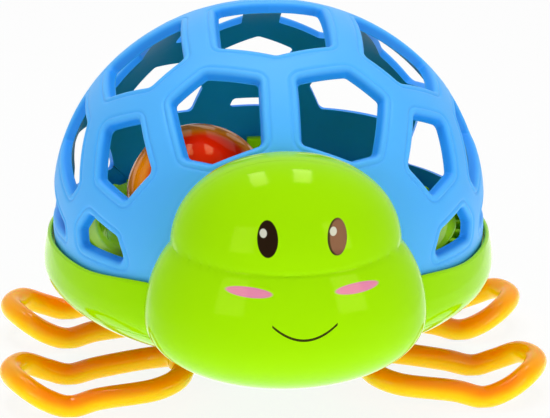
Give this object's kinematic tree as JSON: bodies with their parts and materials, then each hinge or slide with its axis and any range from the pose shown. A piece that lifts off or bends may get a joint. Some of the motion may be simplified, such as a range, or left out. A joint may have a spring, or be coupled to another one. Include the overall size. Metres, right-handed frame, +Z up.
{
  "type": "soft rattle",
  "caption": "Turtle-shaped baby rattle: a soft blue lattice dome over a glossy green hull, a loose orange ball with beads inside, a smiling head and orange loop legs.",
  "frame": {"origin": "on the floor under the middle of the outline", "axes": "+Z up, the head faces -Y, the toy's own left side towards +X"},
  "size_m": [0.175, 0.1748, 0.1201],
  "materials": {
    "shell_blue": "satin",
    "body_green": "gloss",
    "leg_orange": "gloss",
    "ball_clear": "clear gloss",
    "bead_yellow": "gloss",
    "screw_steel": "zinc plated"
  },
  "bodies": {
    "toy": {"shell_lattice": "shell_blue", "hull_upper": "body_green", "hull_lower": "body_green", "deck": "body_green", "leg_plate": "body_green", "head_front": "body_green", "head_back": "body_green", "leg_front_left": "leg_orange", "leg_front_right": "leg_orange", "leg_rear_left": "leg_orange", "leg_rear_right": "leg_orange", "deck_screw_1": "screw_steel", "deck_screw_2": "screw_steel", "deck_screw_3": "screw_steel", "deck_screw_4": "screw_steel", "plate_screw_1": "screw_steel", "plate_screw_2": "screw_steel", "plate_screw_3": "screw_steel", "plate_screw_4": "screw_steel", "head_screw_1": "screw_steel", "head_screw_2": "screw_steel"},
    "beads": {"bead_1": "bead_yellow", "bead_2": "bead_yellow", "bead_3": "bead_yellow", "bead_4": "bead_yellow", "bead_5": "bead_yellow", "bead_6": "bead_yellow", "bead_7": "bead_yellow"},
    "ball": {"ball_upper": "ball_clear", "ball_lower": "ball_clear"}
  },
  "joints": [
    {"name": "ball_orbit", "type": "hinge", "parent": "toy", "child": "beads", "pos_m": [0, 0.01465, 0.0679], "axis": [0, 0, 1], "continuous": true},
    {"name": "ball_roll", "type": "hinge", "parent": "beads", "child": "ball", "pos_m": [-0.02414, -0.01625, 0.0679], "axis": [-0.6157, -0.788, 0], "continuous": true}
  ],
  "couplings": [
    {"joint": "ball_roll", "follows": "ball_orbit", "ratio": -1.7427}
  ]
}
